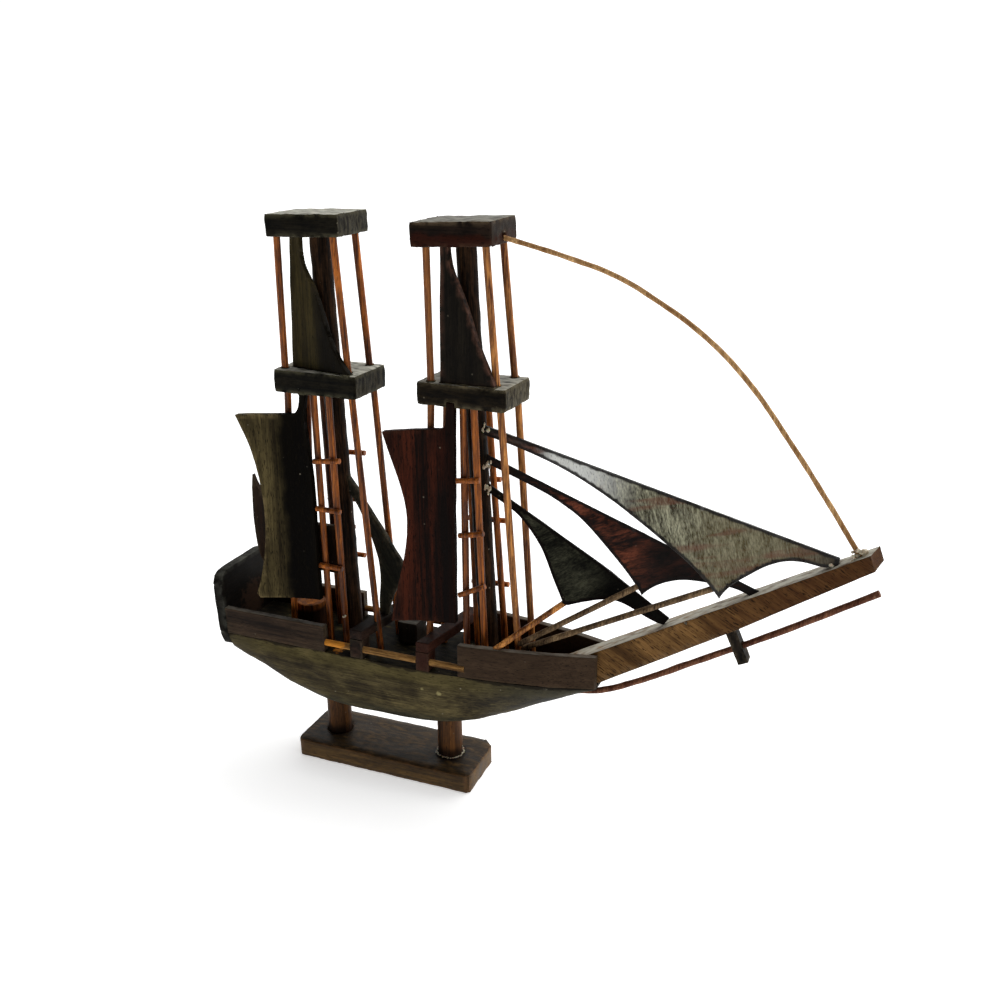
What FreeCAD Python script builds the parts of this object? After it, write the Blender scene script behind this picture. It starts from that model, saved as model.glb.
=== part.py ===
import FreeCAD, Part
import os

os.makedirs("parts", exist_ok=True)

V = FreeCAD.Vector

# ---- driving dimensions, millimetres; +X bow, +Y port, +Z up, zero at the centre of the stand's foot ----
baseLength = 60.0
baseWidth = 22.0
baseHeight = 6.5
baseCornerNear = 1.1
baseCornerFar = 3.0
postRadius = 3.9
postXs = {"stand_post_aft": -20.3, "stand_post_fore": 18.9}
postFoot = 3.0
postTop = 24.5

deckZ = 41.5
# hull stations: x, half beam at the deck, half width of the flat bottom, height of the bottom
hullStations = [
    (-52.5, 14.0, 10.5, 36.6),
    (-44.0, 14.0, 9.6, 31.4),
    (-34.0, 14.0, 8.4, 26.0),
    (-24.0, 14.0, 7.0, 21.2),
    (-12.0, 14.0, 6.2, 19.2),
    (4.0, 14.0, 5.8, 19.0),
    (18.0, 13.8, 5.2, 19.8),
    (30.0, 13.0, 4.4, 22.8),
    (42.0, 11.6, 3.4, 28.0),
    (54.0, 9.4, 2.6, 34.0),
    (66.8, 5.8, 2.2, 40.2),
]

plankThick = 2.3
plankTopAft = 50.0
plankTopFore = 51.6
plankAftSpan = (-52.5, -16.0)
plankForeSpan = (27.6, 66.8)

transomThick = 3.5
transomHalf = 14.0
transomBottom = 36.8
transomTop = 61.6
transomCorner = 4.0
transomRake = 3.2
transomFoot = (-50.4, 36.8)

framePosts = {"aft": -7.2, "fore": 14.6}
framePostLength = 4.2
framePostDepth = 5.0
crossbarHeight = 3.2
frameTop = 50.8
railRadius = 1.05
railY = 12.75
railZ = 44.2

frameSkew = 5.4

hatchSize = (6.5, 7.5, 6.8)
hatchCorner = (1.6, 0.4)
drumRadius = 4.6
drumHeight = 9.0
drumX = -28.8
drumY = 0.5

mastSocket = 7.0
# masts: radius, foot x at the deck, x at the height of the top block, top height
masts = {
    "aft": (3.0, -13.2, -18.1, 165.6),
    "fore": (2.85, 32.6, 26.0, 165.0),
}
# mast blocks: centre x, centre z, length, width, height, rake, yaw
blocks = {
    "aft_top_block": (-18.7, 166.9, 23.0, 18.0, 6.5, 1.7, -0.3),
    "aft_mid_block": (-17.1, 123.3, 27.3, 17.9, 7.0, 0.5, -1.9),
    "fore_top_block": (25.4, 166.4, 23.2, 19.0, 6.8, 2.7, 0.5),
    "fore_mid_block": (27.9, 123.7, 27.0, 17.0, 6.7, 0.9, -3.5),
}

blockCorner = 0.6

stickRadius = 1.05
socketDepth = 1.6
notch = 0.3
rungRadius = 0.85
nearY = -5.5
farY = 5.8

# upper sticks of each mast: y, x under the top block, x on the mid block
upperSticks = {
    "aft": [(nearY, -28.3, -28.5), (nearY, -10.7, -7.8), (farY, -28.6, -28.8), (farY, -10.2, -7.1)],
    "fore": [(nearY, 17.0, 17.6), (nearY, 33.9, 37.0), (farY, 16.8, 17.4), (farY, 34.3, 37.9)],
}
# lower sticks, the pair abaft the mast and the pair before it: y, x under the mid block, x at the deck
lowerSticks = {
    "aft": {"backstays": [(nearY, -28.1, -31.6), (farY, -28.4, -31.8)],
            "forestays": [(nearY, -7.3, -1.2), (farY, -6.3, -0.6)]},
    "fore": {"backstays": [(nearY, 17.5, 15.2), (farY, 17.2, 14.8)],
             "forestays": [(nearY, 37.9, 44.4), (farY, 38.7, 44.2)]},
}
ladderSticks = {
    "aft_starboard": [(nearY, -19.7, -18.4), (nearY, -14.7, -13.0)],
    "aft_port": [(farY, -23.6, -21.4), (farY, -17.6, -15.6)],
    "fore_starboard": [(nearY, 27.0, 27.5), (nearY, 30.2, 33.5)],
    "fore_port": [(farY, 23.3, 26.3), (farY, 29.6, 35.5)],
}
# rungs: outer side of the ladder (-1 starboard, +1 port), then x and z of both ends
ladderRungs = {
    "aft_starboard": (-1, [((-19.9, 100.0), (-11.3, 100.4)), ((-19.9, 84.8), (-12.0, 85.1)),
                           ((-19.9, 67.2), (-12.3, 66.2))]),
    "aft_port": (1, [((-24.6, 98.3), (-10.9, 99.0)), ((-24.4, 83.0), (-14.2, 83.6)),
                     ((-24.2, 73.8), (-15.6, 74.2)), ((-23.0, 65.0), (-12.4, 65.6))]),
    "fore_starboard": (-1, [((25.6, 99.6), (32.2, 100.1)), ((26.0, 83.5), (33.6, 84.3)),
                            ((25.8, 64.9), (33.9, 68.4))]),
    "fore_port": (1, [((22.6, 95.4), (33.1, 96.0)), ((22.9, 83.0), (34.6, 83.6)),
                      ((23.8, 62.8), (35.6, 63.4))]),
}

# big square sails, swung out to starboard towards their after edge
sailThick = 2.1
sailSwing = 7.0
sailChord = 26.0
bigSails = {
    "aft": {
        "front": -8.6,
        "luffX": -21.0,
        "outline": [
            (-22.6, 121.4), (-22.7, 119.0), [(-23.0, 117.3), (-23.7, 115.2), (-25.4, 113.8)],
            (-41.8, 113.2),
            [(-40.5, 109.7), (-38.2, 102.7), (-36.5, 94.0), (-35.6, 84.0), (-35.9, 76.0), (-37.2, 66.0),
             (-39.6, 56.4)],
            (-38.8, 54.9), (-19.6, 55.7),
            [(-20.0, 72.0), (-20.0, 85.0), (-20.6, 100.0), (-21.2, 106.4), (-20.9, 119.0)], (-20.9, 121.4)],
    },
    "fore": {
        "front": -8.4,
        "luffX": 26.0,
        "outline": [
            (23.4, 121.9), (23.4, 119.6), [(23.1, 117.3), (22.6, 115.3), (21.0, 114.3)],
            (5.7, 113.1),
            [(6.6, 109.6), (8.4, 103.0), (10.4, 96.0), (11.5, 88.5), (11.1, 80.0), (9.6, 71.5), (6.9, 58.0)],
            (6.4, 55.4), (25.1, 55.8),
            [(25.2, 72.0), (25.2, 88.0), (25.4, 104.0), (25.6, 119.6)], (25.6, 121.9)],
    },
}
# triangular topsails: the two ends of the foot in plan, outline as distance along the foot and height
topsailThick = 1.9
topsails = {
    "aft": {
        "foot": ((-28.0, -2.5), (-5.7, -8.1)),
        "outline": [(1.0, 125.6), (1.8, 146.0), (3.0, 164.9), (6.6, 164.9),
                    [(6.7, 160.0), (7.2, 156.4), (10.8, 150.2), (13.4, 143.8), (15.9, 136.8), (19.5, 130.6),
                     (22.7, 127.2)], (22.7, 125.6)],
    },
    "fore": {
        "foot": ((20.9, -5.6), (37.6, -7.4)),
        "outline": [(0.0, 125.9), (0.2, 146.0), (0.8, 164.2), (3.2, 164.2),
                    [(3.2, 161.0), (4.4, 156.2), (7.6, 149.4), (9.8, 143.6), (12.2, 137.0), (14.6, 131.8),
                     (16.6, 127.6)], (16.6, 125.9)],
    },
}
# blades set on the fore stays: both ends of the long edge, clew, thickness, and the outline as
# distance along the long edge against drop below it
blades = {
    "jib_outer": {
        "head": (31.0, 0.0, 112.9), "tack": (127.9, 0.0, 88.6), "clew": (99.5, -6.0, 75.3), "thick": 1.9,
        "outline": [
            (0.0, -1.2), (100.3, -0.9), (100.4, 1.1),
            [(97.2, 2.8), (93.0, 3.3), (88.3, 4.7), (84.1, 7.7), (80.3, 12.0), (77.3, 16.1), (75.8, 20.2)],
            [(71.4, 17.4), (65.7, 14.6), (55.0, 10.6), (44.0, 6.9), (37.1, 5.0), (26.7, 2.8), (13.4, 1.5),
             (0.0, 1.4)]],
    },
    "jib_middle": {
        "head": (31.0, 0.0, 104.5), "tack": (108.2, 0.0, 75.7), "clew": (78.8, -5.5, 73.3), "thick": 1.9,
        "outline": [
            (0.0, -1.4), (50.0, -1.6), (82.8, -1.4), (82.6, 1.2),
            [(76.6, 1.1), (71.0, 2.6), (64.3, 5.0), (58.5, 9.6), (56.0, 13.9)],
            [(51.1, 10.9), (45.4, 8.2), (39.8, 5.8), (34.3, 3.6), (27.8, 1.9), (15.1, 0.9), (0.0, 0.9)]],
    },
    "jib_inner": {
        "head": (31.0, 0.0, 96.4), "tack": (85.9, 0.0, 63.6), "clew": (57.2, -5.0, 65.8), "thick": 1.9,
        "outline": [
            (0.0, -1.2), (40.0, -1.8), (63.2, -0.9), (63.0, 1.5),
            [(54.2, 3.0), (49.0, 3.9), (43.8, 7.5), (38.8, 13.1)], (37.2, 13.6), (36.5, 12.9),
            [(33.6, 11.1), (30.0, 8.8), (26.1, 6.2), (22.7, 4.2), (18.4, 2.5), (14.6, 1.3), (8.0, 0.7),
             (0.0, 0.7)]],
    },
}
staysailThick = 1.8
staysailOutline = [
    (-14.6, 96.6), [(-11.9, 93.4), (-7.1, 86.2), (-0.8, 77.0), (3.5, 70.2), (6.8, 65.4)],
    (6.6, 64.2), [(3.2, 61.0), (0.8, 56.6), (-0.8, 50.4)], (-3.4, 50.4),
    [(-3.7, 55.1), (-3.2, 59.9), (-3.4, 67.3), (-6.3, 77.4), (-9.9, 85.3), (-13.7, 90.6)]]
spankerThick = 1.9
spankerOutline = [
    (-15.2, 77.6), [(-24.0, 77.2), (-33.0, 78.2), (-40.0, 81.2), (-44.2, 86.2), (-46.1, 90.6)],
    [(-46.8, 84.0), (-46.9, 78.0), (-46.6, 70.0), (-45.2, 63.0), (-43.0, 58.8)],
    [(-36.0, 60.6), (-28.0, 61.6), (-20.0, 61.7), (-14.4, 61.5)]]

# bow
spritHalfRoot = 3.5
spritHalfTip = 2.8
# side outline, a little longer than the finished spar
spritSide = [(48.6, 41.5), (48.6, 42.2), (142.6, 96.2), (144.0, 92.7), (105.0, 66.4), (66.0, 41.7),
             (65.7, 41.5)]
# slanting end cut: near top, near bottom and the middle of the far edge
spritEnd = ((135.7, -2.8, 92.0), (137.2, -2.8, 88.0), (138.3, 2.8, 90.9))
strikerTop = (102.2, 65.8)
strikerFoot = (106.9, 55.7)
strikerSide = 3.0
strikerDepth = 3.5
lowerStickLine = [(59.6, 36.7), (67.0, 38.4), (78.0, 43.7), (92.0, 52.0), (112.0, 64.0), (138.9, 81.3)]
forestayRadius = 0.75
forestayLine = [(34.2, 165.6), (43.5, 163.6), (54.0, 160.9), (67.0, 156.9), (77.5, 151.6), (91.2, 142.7),
                (102.4, 132.2), (113.0, 118.9), (123.2, 105.0), (133.8, 89.6)]

# sheets: inboard end, then the clew end
sheetRadius = 0.9
sheets = {
    "sheet_inner": ((38.2, -10.4, 51.1), (57.0, -4.6, 66.6)),
    "sheet_middle": ((44.2, -6.3, 52.0), (77.8, -5.4, 75.4)),
    "sheet_outer": ((44.2, -4.9, 49.8), (97.8, -5.3, 78.0)),
}


def box(x0, x1, y0, y1, z0, z1):
    return Part.makeBox(x1 - x0, y1 - y0, z1 - z0, V(x0, y0, z0))


def rod(a, b, radius):
    start = V(*a)
    run = V(*b) - start
    return Part.makeCylinder(radius, run.Length, start, run)


def wireOf(points):
    # straight runs between single points, a smooth curve through every list of points
    edges = []
    last = None
    for item in points:
        if isinstance(item, list):
            run = [V(*p) for p in item]
            if last is not None:
                run = [last] + run
            spline = Part.BSplineCurve()
            spline.interpolate(run)
            edges.append(spline.toShape())
            last = run[-1]
        else:
            point = V(*item)
            if last is not None:
                edges.append(Part.makeLine(last, point))
            last = point
    first = points[0]
    if (V(*first) - last).Length > 1e-6:
        edges.append(Part.makeLine(last, V(*first)))
    return Part.Wire(edges)


def placed(points, origin, along, up):
    # two-dimensional outline put into space on the axes "along" and "up"
    def lift(p):
        q = origin + along * p[0] + up * p[1]
        return (q.x, q.y, q.z)

    return [[lift(p) for p in item] if isinstance(item, list) else lift(item) for item in points]


def softened(shape, size, chosen):
    # edges rounded where the kernel can do it, otherwise left sharp
    try:
        done = shape.makeFillet(size, chosen)
        if done.isValid() and done.Volume > 0:
            return done
    except Part.OCCError:
        print("edges left sharp")
    return shape


def rakedBlock(name):
    cx, cz, length, width, height, rake, yaw = blocks[name]
    shape = box(-length / 2, length / 2, -width / 2, width / 2, -height / 2, height / 2)
    upright = [e for e in shape.Edges if abs(e.tangentAt(0).z) > 0.9]
    shape = shape.makeChamfer(blockCorner, upright)
    shape = softened(shape, 0.35, shape.Edges)
    shape.Placement = FreeCAD.Placement(V(cx, 0, cz), FreeCAD.Rotation(yaw, -rake, 0))
    return shape


def blockFace(name, side):
    # height of the block's top (+1) or underside (-1) at its centre
    return blocks[name][1] + side * blocks[name][4] / 2


def hullSection(x, beam, flat, bottom):
    depth = deckZ - bottom
    side = [
        (x, -beam * 0.99, deckZ - depth * 0.24),
        (x, -(flat + (beam - flat) * 0.76), deckZ - depth * 0.58),
        (x, -(flat + (beam - flat) * 0.36), deckZ - depth * 0.88),
        (x, -flat, bottom),
    ]
    other = [(x, -y, z) for (x, y, z) in reversed(side)]
    return wireOf([(x, -beam, deckZ), side, other[0], other[1:] + [(x, beam, deckZ)]])


def beamAt(x):
    for (xa, ba, fa, za), (xb, bb, fb, zb) in zip(hullStations, hullStations[1:]):
        if xa <= x <= xb:
            return ba + (bb - ba) * (x - xa) / (xb - xa)
    return hullStations[-1][1]


def plank(x0, x1, top, side):
    stops = [x0] + [s[0] for s in hullStations if x0 < s[0] < x1] + [x1]
    outer = [(x, side * beamAt(x), deckZ) for x in stops]
    inner = [(x, side * (beamAt(x) - plankThick), deckZ) for x in reversed(stops)]
    face = Part.Face(wireOf(outer + inner))
    body = face.extrude(V(0, 0, top - deckZ))
    rim = [e for e in body.Edges if abs(e.CenterOfMass.z - top) < 1e-6 and e.Length > 3]
    return softened(body, 0.4, rim)


def bigSail(spec):
    steps = [0.0, 6.0, 12.0, 18.0, 24.0]
    curve = []
    for d in steps:
        curve.append((spec["luffX"] - d, spec["front"] - sailSwing * (d / sailChord) ** 1.7, 50.0))
    back = [(x + 0.02 * i, y + sailThick, z) for i, (x, y, z) in enumerate(curve)]
    front0 = (spec["luffX"] + 2.0, spec["front"], 50.0)
    back0 = (spec["luffX"] + 2.0, spec["front"] + sailThick, 50.0)
    plan = Part.Face(wireOf([front0, curve, back[-1], list(reversed(back))[1:], back0]))
    slab = plan.extrude(V(0, 0, 75.0))
    outline = placed(spec["outline"], V(0, -30, 0), V(1, 0, 0), V(0, 0, 1))
    cutter = Part.Face(wireOf(outline)).extrude(V(0, 40, 0))
    return slab.common(cutter)


def topsail(spec):
    a = V(spec["foot"][0][0], spec["foot"][0][1], 0)
    b = V(spec["foot"][1][0], spec["foot"][1][1], 0)
    along = (b - a).normalize()
    across = V(-along.y, along.x, 0)
    start = a - across * (topsailThick / 2)
    outline = placed(spec["outline"], start, along, V(0, 0, 1))
    return Part.Face(wireOf(outline)).extrude(across * topsailThick)


def bentRod(line, radius):
    path = Part.BSplineCurve()
    path.interpolate([V(x, 0, z) for (x, z) in line])
    rings = []
    for i in range(13):
        at = path.FirstParameter + (path.LastParameter - path.FirstParameter) * i / 12
        rings.append(Part.Wire([Part.makeCircle(radius, path.value(at), path.tangent(at)[0])]))
    return Part.makeLoft(rings, True, False)


def blade(spec, outline):
    head = V(*spec["head"])
    along = (V(*spec["tack"]) - head).normalize()
    reach = V(*spec["clew"]) - head
    normal = along.cross(reach).normalize()
    drop = normal.cross(along)
    if drop.dot(reach) < 0:
        drop = drop * -1
    start = head - normal * (spec["thick"] / 2)
    flat = placed(outline, start, along, drop)
    return Part.Face(wireOf(flat)).extrude(normal * spec["thick"])


# ---- stand ----
standBase = box(-baseLength / 2, baseLength / 2, -baseWidth / 2, baseWidth / 2, 0, baseHeight)
for side, size in ((-1, baseCornerNear), (1, baseCornerFar)):
    corners = [e for e in standBase.Edges if abs(e.tangentAt(0).z) > 0.9 and e.CenterOfMass.y * side > 10.5]
    standBase = standBase.makeChamfer(size, corners)
topRing = [e for e in standBase.Edges if abs(e.CenterOfMass.z - baseHeight) < 1e-6]
standBase = softened(standBase, 0.6, topRing)
posts = {}
for name, x in postXs.items():
    posts[name] = rod((x, 0, postFoot), (x, 0, postTop), postRadius)
    standBase = standBase.cut(posts[name])

# ---- hull ----
hull = Part.makeLoft([hullSection(*s) for s in hullStations], True, False)
for shape in posts.values():
    hull = hull.cut(shape)

# ---- transom ----
half = transomHalf
top = transomTop
corner = transomCorner
board = [(-half + 1.6, transomBottom), (-half, transomBottom + 4.5), (-half, top - corner),
         (-half + corner * 0.3, top - corner * 0.3), (-half + corner, top)]
board = board + [(-y, z) for (y, z) in reversed(board)]
transom = Part.Face(wireOf([(0, y, z - transomFoot[1]) for (y, z) in board])).extrude(V(-transomThick, 0, 0))
outer = [e for e in transom.Edges if abs(e.CenterOfMass.x + transomThick) < 1e-6]
transom = softened(transom, 0.7, outer)
sternPlace = FreeCAD.Placement(V(transomFoot[0], 0, transomFoot[1]), FreeCAD.Rotation(0, -transomRake, 0))
transom.Placement = sternPlace
aftOfStern = box(-30, 0, -30, 30, -20, 60)
aftOfStern.Placement = sternPlace
hull = hull.cut(aftOfStern)

# ---- bulwarks, waist frames and rails ----
planks = {}
rails = {}
waist = {}
for sideName, side in (("starboard", -1), ("port", 1)):
    aft = "bulwark_aft_" + sideName
    fore = "bulwark_fore_" + sideName
    rail = "waist_rail_" + sideName
    planks[aft] = plank(plankAftSpan[0], plankAftSpan[1], plankTopAft, side)
    planks[fore] = plank(plankForeSpan[0], plankForeSpan[1], plankTopFore, side)
    railStart = (plankAftSpan[1] - 2.0, side * railY, railZ)
    railEnd = (plankForeSpan[0] + 2.0, side * railY, railZ)
    rails[rail] = rod(railStart, railEnd, railRadius)
    planks[aft] = planks[aft].cut(rails[rail]).cut(aftOfStern)
    planks[fore] = planks[fore].cut(rails[rail])
    for where, x in framePosts.items():
        shift = frameSkew if side > 0 else 0.0
        y0, y1 = sorted((side * 14.0, side * (14.0 - framePostDepth)))
        post = box(x + shift, x + shift + framePostLength, y0, y1, deckZ, frameTop - crossbarHeight)
        waist["waist_post_%s_%s" % (where, sideName)] = post.cut(rails[rail])
for where, x in framePosts.items():
    under = frameTop - crossbarHeight
    bar = Part.Face(wireOf([(x, -14.0, under), (x + framePostLength, -14.0, under),
                            (x + framePostLength + frameSkew, 14.0, under), (x + frameSkew, 14.0, under)]))
    bar = bar.extrude(V(0, 0, crossbarHeight))
    waist["crossbar_" + where] = softened(bar, 0.35, bar.Edges)

# ---- deck furniture ----
hatch = box(hatchCorner[0], hatchCorner[0] + hatchSize[0], hatchCorner[1], hatchCorner[1] + hatchSize[1],
            deckZ, deckZ + hatchSize[2])
hatch = softened(hatch, 0.4, [e for e in hatch.Edges if e.CenterOfMass.z > deckZ + 0.1])
drum = Part.makeCylinder(drumRadius, drumHeight, V(drumX, drumY, deckZ))
drum = softened(drum, 0.35, [e for e in drum.Edges if e.CenterOfMass.z > deckZ + drumHeight - 0.1])

# ---- masts and their blocks ----
mastShapes = {}
for name, (radius, footX, topX, topZ) in masts.items():
    slope = (topX - footX) / (topZ - deckZ)
    foot = (footX - slope * mastSocket, 0, deckZ - mastSocket)
    mastShapes[name] = rod(foot, (topX, 0, topZ), radius)
    hull = hull.cut(mastShapes[name])
blockShapes = {}
for name in blocks:
    blockShapes[name] = rakedBlock(name).cut(mastShapes[name.split("_")[0]])

# ---- sticks, ladders ----
stays = {}
for name in masts:
    topBlock = name + "_top_block"
    midBlock = name + "_mid_block"
    topZ = blockFace(topBlock, -1) + socketDepth
    seatZ = blockFace(midBlock, 1) - socketDepth
    hangZ = blockFace(midBlock, -1) + socketDepth
    for y, xa, xb in upperSticks[name]:
        stick = rod((xa, y, topZ), (xb, y, seatZ), stickRadius)
        blockShapes[topBlock] = blockShapes[topBlock].cut(stick)
        blockShapes[midBlock] = blockShapes[midBlock].cut(stick)
        stays.setdefault(name + "_upper_stays", []).append(stick)
    for pair, sticks in lowerSticks[name].items():
        for y, xa, xb in sticks:
            stick = rod((xa, y, hangZ), (xb, y, deckZ - socketDepth), stickRadius)
            blockShapes[midBlock] = blockShapes[midBlock].cut(stick)
            hull = hull.cut(stick)
            for where in framePosts:
                waist["crossbar_" + where] = waist["crossbar_" + where].cut(stick)
            stays.setdefault("%s_lower_%s" % (name, pair), []).append(stick)
    for sideName in ("starboard", "port"):
        key = name + "_" + sideName
        outer, rungList = ladderRungs[key]
        y = ladderSticks[key][0][0]
        rungY = y + outer * (stickRadius + rungRadius - notch)
        rungs = [rod((a[0], rungY, a[1]), (b[0], rungY, b[1]), rungRadius) for a, b in rungList]
        for (y, xa, xb) in ladderSticks[key]:
            stick = rod((xa, y, hangZ), (xb, y, deckZ - socketDepth), stickRadius)
            blockShapes[midBlock] = blockShapes[midBlock].cut(stick)
            hull = hull.cut(stick)
            for rung in rungs:
                stick = stick.cut(rung)
            stays.setdefault(key + "_ladder_sides", []).append(stick)
        stays[key + "_ladder_rungs"] = rungs

# ---- sails ----
sails = {}
for name in masts:
    sails[name + "_topsail"] = topsail(topsails[name])
    for stick in stays[name + "_upper_stays"]:
        sails[name + "_topsail"] = sails[name + "_topsail"].cut(stick)
    sails[name + "_course"] = bigSail(bigSails[name])
    blockShapes[name + "_mid_block"] = blockShapes[name + "_mid_block"].cut(sails[name + "_course"])
    blockShapes[name + "_mid_block"] = blockShapes[name + "_mid_block"].cut(sails[name + "_topsail"])
    blockShapes[name + "_top_block"] = blockShapes[name + "_top_block"].cut(sails[name + "_topsail"])

# ---- bowsprit, striker, lower stick ----
sprit = Part.Face(wireOf([(x, -spritHalfRoot, z) for (x, z) in spritSide])).extrude(V(0, 2 * spritHalfRoot, 0))
for side in (-1, 1):
    wedge = [(86.0, side * (spritHalfRoot + 0.001), 30), (150.0, side * (spritHalfTip - 0.15), 30),
             (150.0, side * 9, 30), (86.0, side * 9, 30)]
    sprit = sprit.cut(Part.Face(wireOf(wedge)).extrude(V(0, 0, 80)))
nearTop, nearFoot, farMiddle = (V(*p) for p in spritEnd)
downEnd = (nearFoot - nearTop).normalize()
acrossEnd = (farMiddle - (nearTop + nearFoot) * 0.5).normalize()
endPlane = [nearTop + downEnd * s + acrossEnd * t for s, t in ((-20, -20), (-20, 20), (20, 20), (20, -20))]
offcut = Part.Face(wireOf([(q.x, q.y, q.z) for q in endPlane])).extrude(V(20, 0, 0))
sprit = sprit.cut(offcut)
sprit = softened(sprit, 0.35, [e for e in sprit.Edges if e.Length > 45])
a = V(strikerTop[0], 0, strikerTop[1])
b = V(strikerFoot[0], 0, strikerFoot[1])
down = (b - a).normalize()
ahead = V(-down.z, 0, down.x)
corners = []
for s, t in ((0, -1), (0, 1), (1, 1), (1, -1)):
    q = a + down * ((b - a).Length * s) + ahead * (strikerSide / 2 * t) + V(0, -strikerDepth / 2, 0)
    corners.append((q.x, q.y, q.z))
striker = Part.Face(wireOf(corners)).extrude(V(0, strikerDepth, 0))
underStick = bentRod(lowerStickLine, stickRadius)
sprit = sprit.cut(striker)
striker = striker.cut(underStick)
hull = hull.cut(underStick)

# ---- blades on the stays, staysail, spanker, forestay ----
jibs = {name: blade(spec, spec["outline"]) for name, spec in blades.items()}
for name in jibs:
    mastShapes["fore"] = mastShapes["fore"].cut(jibs[name])
    sprit = sprit.cut(jibs[name])
for name, outline, thick in (("staysail", staysailOutline, staysailThick),
                             ("spanker", spankerOutline, spankerThick)):
    flat = placed(outline, V(0, -thick / 2, 0), V(1, 0, 0), V(0, 0, 1))
    sails[name] = Part.Face(wireOf(flat)).extrude(V(0, thick, 0))
    mastShapes["aft"] = mastShapes["aft"].cut(sails[name])
waist["crossbar_aft"] = waist["crossbar_aft"].cut(sails["staysail"])
forestay = bentRod(forestayLine, forestayRadius)
blockShapes["fore_top_block"] = blockShapes["fore_top_block"].cut(forestay)
sprit = sprit.cut(forestay)

# ---- sheets ----
sheetShapes = {}
for name, (a, b) in sheets.items():
    stick = rod(a, b, sheetRadius)
    sheetShapes[name] = stick
    target = name.replace("sheet", "jib")
    jibs[target] = jibs[target].cut(stick)
    stays["fore_lower_forestays"] = [stay.cut(stick) for stay in stays["fore_lower_forestays"]]
    planks["bulwark_fore_starboard"] = planks["bulwark_fore_starboard"].cut(stick)

# ---- every piece under its own name ----
everything = {
    "stand_base": standBase,
    "hull": hull,
    "transom": transom,
    "deck_hatch": hatch,
    "deck_drum": drum,
    "aft_mast": mastShapes["aft"],
    "fore_mast": mastShapes["fore"],
    "forestay": forestay,
    "bowsprit": sprit,
    "dolphin_striker": striker,
    "bow_lower_stick": underStick,
}
for group in (posts, planks, waist, rails, blockShapes, sails, jibs, sheetShapes):
    everything.update(group)
for name, solids in stays.items():
    everything[name] = Part.makeCompound(solids)

for name, shape in everything.items():
    shape.exportStep("parts/%s.step" % name)
    print(name, round(shape.Volume, 1), shape.isValid(), len(shape.Solids))
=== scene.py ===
import bpy
import bmesh
import math
import random
from mathutils import Matrix, Vector, kdtree, noise


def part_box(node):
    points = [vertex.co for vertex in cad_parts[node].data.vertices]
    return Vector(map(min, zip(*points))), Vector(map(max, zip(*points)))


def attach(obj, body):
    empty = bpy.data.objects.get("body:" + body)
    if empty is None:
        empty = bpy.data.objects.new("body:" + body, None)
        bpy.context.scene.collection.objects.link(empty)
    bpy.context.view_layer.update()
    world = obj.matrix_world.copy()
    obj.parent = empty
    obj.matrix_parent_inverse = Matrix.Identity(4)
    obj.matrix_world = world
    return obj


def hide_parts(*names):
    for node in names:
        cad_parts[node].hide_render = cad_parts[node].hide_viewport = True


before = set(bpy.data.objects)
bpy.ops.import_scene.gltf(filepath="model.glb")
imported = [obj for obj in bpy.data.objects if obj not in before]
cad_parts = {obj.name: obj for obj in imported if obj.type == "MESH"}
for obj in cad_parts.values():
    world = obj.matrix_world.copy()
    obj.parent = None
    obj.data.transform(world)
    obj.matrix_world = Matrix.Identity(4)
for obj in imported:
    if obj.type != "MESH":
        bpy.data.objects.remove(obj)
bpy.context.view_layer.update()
mm = 0.001
random.seed(11)


# place in mm, tilt and turn in degrees, lens and sensor width in mm
view = {"place": (140.8, -266.7, 197.1), "tilt": 69.99, "turn": 21.51, "lens": 38.94, "sensor": 36.0}


def makeCamera():
    data = bpy.data.cameras.new("camera")
    data.lens = view["lens"]
    data.sensor_width = view["sensor"]
    camera = bpy.data.objects.new("camera", data)
    camera.location = Vector(view["place"]) * mm
    camera.rotation_euler = (math.radians(view["tilt"]), 0, math.radians(view["turn"]))
    bpy.context.scene.collection.objects.link(camera)
    bpy.context.scene.camera = camera
    print("camera set")


def hue(red, green, blue):
    # screen colour, 0 to 255, as a linear one
    def straight(c):
        c = c / 255
        return c / 12.92 if c <= 0.04045 else ((c + 0.055) / 1.055) ** 2.4
    return (straight(red), straight(green), straight(blue), 1.0)


def addNode(tree, kind, inputs=None, **settings):
    node = tree.nodes.new(kind)
    for key, value in settings.items():
        setattr(node, key, value)
    for key, value in (inputs or {}).items():
        if isinstance(value, bpy.types.NodeSocket):
            tree.links.new(value, node.inputs[key])
        else:
            node.inputs[key].default_value = value
    return node


def maths(tree, operation, a, b=0.0, clamp=False):
    return addNode(tree, "ShaderNodeMath", {0: a, 1: b}, operation=operation, use_clamp=clamp).outputs[0]


def blended(tree, factor, a, b, mode="MIX"):
    node = addNode(tree, "ShaderNodeMix", {0: factor, 6: a, 7: b}, data_type="RGBA", blend_type=mode)
    return node.outputs[2]


def stepped(tree, value, low, high, top=1.0):
    # smooth rise from 0 to top between low and high
    node = addNode(tree, "ShaderNodeMapRange", {0: value, 1: low, 2: high, 3: 0.0, 4: top},
                   interpolation_type="SMOOTHSTEP")
    return node.outputs[0]


def noiseAt(tree, vector, stretch, detail=3.0, distortion=0.0, roughness=0.5):
    # stretch: swells per metre along X, Y and Z
    scaled = addNode(tree, "ShaderNodeVectorMath", {0: vector, 1: stretch}, operation="MULTIPLY").outputs[0]
    inputs = {"Vector": scaled, "Scale": 1.0, "Detail": detail, "Roughness": roughness,
              "Distortion": distortion}
    return addNode(tree, "ShaderNodeTexNoise", inputs).outputs[0]


def swing(tree, value, amount):
    # a noise set to swing about 0
    return maths(tree, "MULTIPLY", maths(tree, "SUBTRACT", value, 0.5), amount)


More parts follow.
